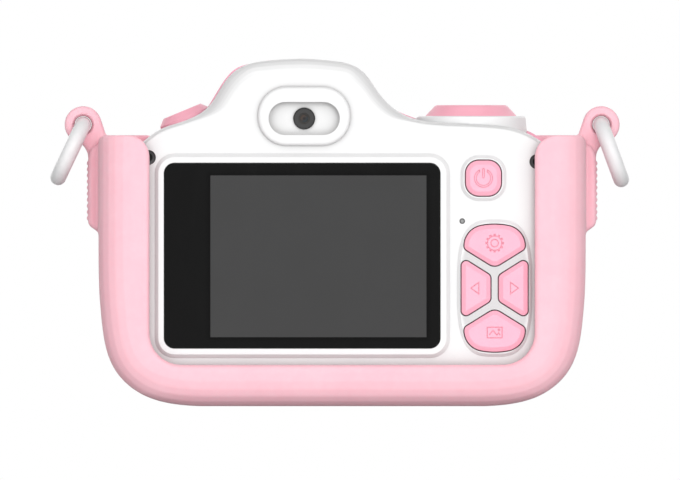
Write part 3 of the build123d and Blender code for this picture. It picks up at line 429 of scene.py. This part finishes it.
def coated_lens():
    m = Mat("front_element", Specular_IOR_Level=0.6, Coat_Weight=1.0, Coat_Roughness=0.02)
    out = m.radius(*FRONT_LENS)
    tint = m.mix(m.remap(out, 0.0005, 0.0052, smooth=True), (0.012, 0.008, 0.030), (0.006, 0.026, 0.030))
    m.color(m.mix(m.remap(m.noise(0.0030, 3.0), 0.4, 0.7, 0.0, 0.35), tint, (0.034, 0.014, 0.030)))
    m.rough(m.remap(m.noise(0.002, 3.0), 0.3, 0.7, 0.03, 0.09))
    m.bump(m.noise(0.006, 1.0), 0.000002)
    return m.mat


def diffuser():
    """Ribbed light cover: crossed prism lines across milky plastic."""
    m = Mat("light_cover", Roughness=0.25, Specular_IOR_Level=0.55, Subsurface_Weight=0.2, Subsurface_Radius=(0.001, 0.001, 0.001), Subsurface_Scale=1.0)
    s = m.xyz()
    lines = [m.math("ABSOLUTE", m.math("SINE", m.math("MULTIPLY", s[i], math.pi / 0.0007))) for i in (0, 2)]
    web = m.math("MULTIPLY", *lines)
    m.color(m.mix(web, (0.48, 0.49, 0.50), (0.72, 0.73, 0.74)))
    m.rough(m.remap(m.noise(0.0012, 3.0), 0.3, 0.7, 0.18, 0.30))
    m.bump(web, 0.00012)
    return m.mat


def light_pipe():
    m = Mat("status_pipe", Specular_IOR_Level=0.4)
    core = m.tube(*LIGHT, 0.34 * MM, 0.00012)
    fine = m.noise(0.00015, 2.0)
    # painted shade: the pipe dark round its grey core, as the status light's hole in shade
    m.color(m.mix(core, m.mix(fine, (0.055, 0.055, 0.056), (0.075, 0.075, 0.076)), m.mix(fine, (0.27, 0.27, 0.27), (0.36, 0.36, 0.36))))
    m.rough(m.remap(fine, 0.3, 0.7, 0.25, 0.40))
    m.bump(fine, 0.000004)
    return m.mat


def board():
    """Green solder mask over copper tracks, seen only when the camera is open."""
    m = Mat("circuit_board", Specular_IOR_Level=0.5)
    s = m.xyz()
    lanes = [m.math("ABSOLUTE", m.math("SINE", m.math("MULTIPLY", s[i], math.pi / p))) for i, p in ((0, 0.0016), (2, 0.0021))]
    track = m.remap(m.math("MINIMUM", *lanes), 0.10, 0.16, 1.0, 0.0)
    patch = m.remap(m.noise(0.006, 2.0, 0.5), 0.48, 0.52)
    web = m.math("MULTIPLY", track, patch)
    m.color(m.mix(web, (0.012, 0.105, 0.038), (0.028, 0.190, 0.070)))
    m.rough(m.remap(m.noise(0.001, 3.0), 0.3, 0.7, 0.28, 0.42))
    m.bump(web, 0.00002)
    return m.mat


def wrapped():
    m = Mat("battery_wrap", Specular_IOR_Level=0.5)
    crease = m.noise(0.003, 4.0, 0.65, m.stretched(1.0, 1.0, 0.3), 0.8)
    m.color(m.mix(crease, (0.55, 0.56, 0.58), (0.72, 0.73, 0.75)))
    m.rough(m.remap(crease, 0.3, 0.7, 0.18, 0.36))
    m.bump(crease, 0.00006)
    return m.mat


def foam():
    m = Mat("foam_pad", Specular_IOR_Level=0.2)
    c = m.cells(0.0006)
    m.color(m.mix(c, (0.030, 0.030, 0.032), (0.075, 0.075, 0.078)))
    m.rough(m.remap(c, 0.0, 0.7, 0.80, 0.95))
    m.bump(c, 0.00012)
    return m.mat


def flex():
    m = Mat("flex_tail", Specular_IOR_Level=0.5)
    s = m.xyz()
    lanes = m.remap(m.math("ABSOLUTE", m.math("SINE", m.math("MULTIPLY", s[2], math.pi / 0.0005))), 0.35, 0.55)
    m.color(m.mix(lanes, (0.42, 0.19, 0.035), (0.30, 0.115, 0.020)))
    m.rough(m.remap(m.noise(0.001, 3.0), 0.3, 0.7, 0.30, 0.45))
    m.bump(lanes, 0.00002)
    return m.mat


def panel_back():
    m = Mat("panel_glass", Specular_IOR_Level=0.5)
    s = m.xyz()
    rows = m.math("ABSOLUTE", m.math("SINE", m.math("MULTIPLY", s[2], math.pi / 0.0001275)))
    m.color(m.mix(rows, (0.040, 0.041, 0.043), (0.065, 0.066, 0.068)))
    m.rough(m.remap(m.noise(0.004, 3.0), 0.3, 0.7, 0.08, 0.18))
    m.bump(m.noise(0.01, 1.0), 0.000004)
    return m.mat


# where things are, from the frame itself
SCREWS = [(-36.6 * MM, 47.0 * MM), (36.8 * MM, 46.2 * MM), (-37.0 * MM, 10.2 * MM), (37.0 * MM, 10.2 * MM)]
LIGHT = (22.70 * MM, 34.97 * MM)
CLUSTER = (28.82 * MM, 22.30 * MM)
LCD = (-24.89 * MM, 15.93 * MM, 13.04 * MM, 43.60 * MM)
lo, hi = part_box("rear_lens")
CAM = ((lo.x + hi.x) / 2, (lo.z + hi.z) / 2)
lo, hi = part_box("lens_front_ring")
FRONT_LENS = ((lo.x + hi.x) / 2, (lo.z + hi.z) / 2)

PINK = (0.940, 0.536, 0.608)
PINK_SHADE = (0.925, 0.512, 0.586)

M = {
    "silicone": silicone("silicone_pink", PINK, PINK_SHADE),
    "white": white_shell(),
    "collar": moulded("collar_white", (0.860, 0.860, 0.862), (0.840, 0.841, 0.845), rough=(0.32, 0.42), flow=0.005, flow_depth=0.000008, Specular_IOR_Level=0.42).mat,
    "pink_shell": moulded("shell_pink", (0.900, 0.415, 0.535), (0.892, 0.404, 0.524), rough=(0.33, 0.42), Specular_IOR_Level=0.42).mat,
    # painted shade: the keys darker in their icon grooves and on their sloped bevels
    "key": moulded("key_pink", (0.948, 0.462, 0.578), (0.940, 0.446, 0.562), rough=(0.38, 0.48), grain=0.00009, flow=0.004, groove=[(0.00045, 0.15, 0.85, (0.74, 0.31, 0.41), 0.55)], painted_slope_shade=((0.900, 0.350, 0.450), 0.70), Specular_IOR_Level=0.35, Subsurface_Weight=0.05, Subsurface_Radius=(0.001, 0.0006, 0.0007), Subsurface_Scale=1.0).mat,
    "top_key": moulded("key_top_pink", (0.945, 0.440, 0.540), (0.930, 0.420, 0.520), rough=(0.38, 0.48), grain=0.00009, flow=0.005, Specular_IOR_Level=0.35).mat,
    "ring": moulded("ring_white", (0.820, 0.820, 0.824), (0.790, 0.792, 0.800), rough=(0.30, 0.40), flow=0.003, Specular_IOR_Level=0.45).mat,
    "barrel": moulded("barrel_white", (0.840, 0.840, 0.843), (0.815, 0.816, 0.821), rough=(0.34, 0.44), flow=0.005, Specular_IOR_Level=0.42).mat,
    "trim": moulded("lens_trim", (0.020, 0.020, 0.022), (0.030, 0.030, 0.033), rough=(0.22, 0.34), flow=0.004, Specular_IOR_Level=0.5).mat,
    "black": moulded("black_plastic", (0.022, 0.022, 0.023), (0.032, 0.032, 0.034), rough=(0.42, 0.56), Specular_IOR_Level=0.4).mat,
    "window": window(),
    "holder": holder(),
    "small_lens": small_lens(),
    "glass": glass("clear_cover", (0.016, 0.018, 0.026)),
    "element": coated_lens(),
    "cover": diffuser(),
    "pipe": light_pipe(),
    "screw": screw(),
    "steel": metal("steel", (0.62, 0.62, 0.63), (0.26, 0.40), (1.0, 1.0, 0.2)),
    "plunger": moulded("plunger_white", (0.74, 0.75, 0.76), (0.68, 0.69, 0.70), rough=(0.40, 0.52)).mat,
    "board": board(),
    "wrap": wrapped(),
    "foam": foam(),
    "flex": flex(),
    "panel": panel_back(),
    "ivory": moulded("connector_ivory", (0.70, 0.66, 0.56), (0.64, 0.60, 0.50), rough=(0.40, 0.55)).mat,
    "wire": moulded("wire_sleeve", (0.50, 0.020, 0.018), (0.42, 0.014, 0.014), rough=(0.38, 0.50)).mat,
}

WEARS = {
    "rear_shell": "white", "shutter_collar": "collar", "left_ring": "ring", "right_ring": "ring",
    "front_shell": "pink_shell", "lens_base_ring": "pink_shell", "lens_barrel": "barrel", "lens_front_ring": "trim",
    "power_button": "key", "settings_button": "key", "gallery_button": "key", "left_button": "key", "right_button": "key",
    "shutter_button": "top_key", "lens_switch_button": "top_key",
    "screen_window": "window", "lcd_glass": "panel", "lcd_backlight": "ivory",
    "rear_lens": "small_lens", "rear_lens_holder": "holder", "lens_front_glass": "glass", "lens_element": "element",
    "lens_cone": "black", "flash_window": "cover", "status_light_pipe": "pipe",
    "case_screws": "screw", "board_screws": "steel", "main_board": "board", "flash_board": "board",
    "battery": "wrap", "battery_pad": "foam", "lcd_tail": "flex", "lcd_connector": "ivory", "battery_plug": "ivory",
    "battery_leads": "wire", "usb_port": "steel", "card_socket": "steel",
    "silicone_sleeve": "silicone",
}
for name, obj in NODES.items():
    kind = WEARS.get(name)
    if kind is None:
        kind = "plunger" if name.endswith("_plunger") else "cover" if name.endswith("_led") else "black"
    obj.data.materials.clear()
    obj.data.materials.append(M[kind])


# ---------------------------------------------------------- the silicone sleeve


def sleeve():
    """The sleeve as a soft moulding: an even skin over the CAD solid, finer at the grips, its corners eased and its surface slightly uneven."""
    src = NODES["silicone_sleeve"]
    work = src.data.copy()
    bm = bmesh.new()
    bm.from_mesh(work)
    bmesh.ops.remove_doubles(bm, verts=bm.verts, dist=1e-6)
    bm.to_mesh(work)
    tree = BVHTree.FromBMesh(bm)
    bm.free()
    o = bpy.data.objects.new("sleeve_skin", work)
    bpy.context.scene.collection.objects.link(o)
    mod = o.modifiers.new("skin", "REMESH")
    mod.mode, mod.voxel_size, mod.adaptivity = "VOXEL", 0.00034, 0.0
    mod.use_smooth_shade = True
    dg = bpy.context.evaluated_depsgraph_get()
    mesh = bpy.data.meshes.new_from_object(o.evaluated_get(dg), depsgraph=dg)
    bpy.data.objects.remove(o)
    mesh.name = "sleeve_skin"

    bm = bmesh.new()
    bm.from_mesh(mesh)
    # the ribbed grips and ears get a finer net
    near = [
        f
        for f in bm.faces
        if abs(f.calc_center_median().x) > 0.0466 and f.calc_center_median().z > 0.0305
    ]
    edges = list({e for f in near for e in f.edges})
    bmesh.ops.subdivide_edges(bm, edges=edges, cuts=1, use_grid_fill=True)
    bm.to_mesh(mesh)
    bm.free()

    n = len(mesh.vertices)
    co = np.empty(n * 3)
    mesh.vertices.foreach_get("co", co)
    co = co.reshape(-1, 3)
    ne = len(mesh.edges)
    ed = np.empty(ne * 2, int)
    mesh.edges.foreach_get("vertices", ed)
    ed = ed.reshape(-1, 2)
    deg = np.zeros(n)
    np.add.at(deg, ed[:, 0], 1)
    np.add.at(deg, ed[:, 1], 1)
    deg = np.maximum(deg, 1)[:, None]

    def eased(p, k):
        s = np.zeros_like(p)
        for a in range(3):
            s[:, a] = np.bincount(ed[:, 0], p[ed[:, 1], a], n) + np.bincount(ed[:, 1], p[ed[:, 0], a], n)
        return p + k * (s / deg - p)

    # back onto the solid, then its edges are eased without shrinking it
    for v in range(n):
        hit = tree.find_nearest(Vector(co[v]))
        if hit[0] is not None:
            co[v] = hit[0]
    fine = (np.abs(co[:, 0]) > 0.0466) & (co[:, 2] > 0.0305)
    for _ in range(3):
        co = eased(eased(co, 0.45), -0.47)
    for _ in range(2):
        p = eased(co, 0.5)
        co = np.where(fine[:, None], co, p)
    mesh.vertices.foreach_set("co", co.ravel())
    mesh.update()
    for p in mesh.polygons:
        p.use_smooth = True
    mesh.materials.clear()
    mesh.materials.append(M["silicone"])
    o = bpy.data.objects.new("sleeve_skin", mesh)
    bpy.context.scene.collection.objects.link(o)
    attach(o, "camera")
    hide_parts("silicone_sleeve")
    return o


sleeve_piece = sleeve()


# ------------------------------------------------------------- floor and light


def floor():
    n, half = 24, 1.3
    bm = bmesh.new()
    bmesh.ops.create_grid(bm, x_segments=n, y_segments=n, size=half)
    mesh = bpy.data.meshes.new("floor")
    bm.to_mesh(mesh)
    bm.free()
    o = bpy.data.objects.new("floor", mesh)
    bpy.context.scene.collection.objects.link(o)
    m = Mat("floor_pale", Specular_IOR_Level=0.1)
    m.color(m.mix(m.noise(0.05, 4.0, 0.6), (0.90, 0.90, 0.90), (0.925, 0.925, 0.925)))
    m.rough(m.remap(m.noise(0.02, 3.0), 0.3, 0.7, 0.80, 0.90))
    m.bump(m.noise(0.004, 3.0), 0.00002)
    m.bsdf.inputs["Emission Color"].default_value = (1.0, 1.0, 1.0, 1.0)
    d = m.t.nodes.new("ShaderNodeVectorMath")
    d.operation = "LENGTH"
    m.link(m.coord, d.inputs[0])
    m.link(m.remap(d.outputs["Value"], 0.15, 1.2, 0.35, 0.95), m.bsdf.inputs["Emission Strength"])
    mesh.materials.append(m.mat)
    o.visible_diffuse = False  # a bright floor that doesn't light the underside
    o.visible_glossy = False
    return o


def softbox(name, place, size, power, aim=(0.0, 0.0, 0.03), color=(1.0, 1.0, 1.0)):
    light = bpy.data.lights.new(name, "AREA")
    light.shape = "RECTANGLE"
    light.size, light.size_y = size
    light.energy = power
    light.color = color
    o = bpy.data.objects.new(name, light)
    bpy.context.scene.collection.objects.link(o)
    o.location = place
    o.rotation_mode = "QUATERNION"
    o.rotation_quaternion = (Vector(aim) - Vector(place)).to_track_quat("-Z", "Y")
    o.visible_camera = False
    return o


def surroundings():
    """White to the camera. For the light it is a photographer's tent: a bright front half, brighter above than below, a weaker sky behind, and a dark hole where the camera stands, so that the screen stays black."""
    w = bpy.data.worlds.new("studio")
    bpy.context.scene.world = w
    w.use_nodes = True
    t = w.node_tree
    t.nodes.clear()

    def remap(value, a, b, to_a, to_b):
        n = t.nodes.new("ShaderNodeMapRange")
        n.interpolation_type = "SMOOTHSTEP"
        for key, v in (("From Min", a), ("From Max", b), ("To Min", to_a), ("To Max", to_b)):
            n.inputs[key].default_value = v
        t.links.new(value, n.inputs["Value"])
        return n.outputs[0]

    def math(op, *values):
        n = t.nodes.new("ShaderNodeMath")
        n.operation = op
        for i, v in enumerate(values):
            if isinstance(v, (int, float)):
                n.inputs[i].default_value = v
            else:
                t.links.new(v, n.inputs[i])
        return n.outputs[0]

    coord = t.nodes.new("ShaderNodeTexCoord")
    split = t.nodes.new("ShaderNodeSeparateXYZ")
    t.links.new(coord.outputs["Generated"], split.inputs[0])
    x, y, z = split.outputs
    front = math("MULTIPLY", remap(y, -0.80, 0.10, TENT, 0.0), math("MULTIPLY_ADD", z, TENT_UP, 1.0))
    front = math("MULTIPLY", front, math("MULTIPLY_ADD", x, TENT_RIGHT, 1.0))
    front = math("MULTIPLY", front, remap(y, -0.990, -0.955, HOLE, 1.0))
    behind = math("MULTIPLY", remap(y, 0.0, 0.35, 0.0, BEHIND), remap(z, -0.10, 0.35, 0.0, 1.0))
    behind = math("ADD", behind, math("MULTIPLY", remap(y, 0.35, 0.90, 0.0, FILL), remap(z, -0.45, 0.30, 0.25, 1.0)))
    total = math("ADD", math("ADD", front, behind), BASE)
    see = t.nodes.new("ShaderNodeBackground")
    see.inputs[0].default_value = (1.0, 1.0, 1.0, 1.0)
    see.inputs[1].default_value = 1.0
    lit = t.nodes.new("ShaderNodeBackground")
    lit.inputs[0].default_value = (1.0, 1.0, 1.0, 1.0)
    t.links.new(total, lit.inputs[1])
    path = t.nodes.new("ShaderNodeLightPath")
    mix = t.nodes.new("ShaderNodeMixShader")
    t.links.new(path.outputs["Is Camera Ray"], mix.inputs[0])
    t.links.new(lit.outputs[0], mix.inputs[1])
    t.links.new(see.outputs[0], mix.inputs[2])
    out = t.nodes.new("ShaderNodeOutputWorld")
    t.links.new(mix.outputs[0], out.inputs[0])


TENT, TENT_UP, TENT_RIGHT, HOLE, BEHIND, FILL, BASE = 1.36, 0.12, 0.07, 0.05, 0.26, 1.35, 0.05
floor()
surroundings()
softbox("key", (0.22, -1.30, 0.42), (0.60, 0.50), 4.0)

# ---------------------------------------------------------------------- camera

VIEW_W, AWAY = 0.1285, 1.40
cam_data = bpy.data.cameras.new("camera_view")
cam_data.type = "ORTHO"  # a long lens from far off: parallel view lines
cam_data.sensor_fit = "HORIZONTAL"
cam_data.ortho_scale = VIEW_W
cam_data.clip_start, cam_data.clip_end = 0.05, 20.0
cam = bpy.data.objects.new("camera_view", cam_data)
bpy.context.scene.collection.objects.link(cam)
cam.location = (-0.0004, -AWAY, 0.0314)
cam.rotation_euler = (math.radians(90.0), 0.0, 0.0)
bpy.context.scene.camera = cam

bpy.context.scene.view_settings.view_transform = "Standard"
bpy.context.scene.view_settings.look = "None"
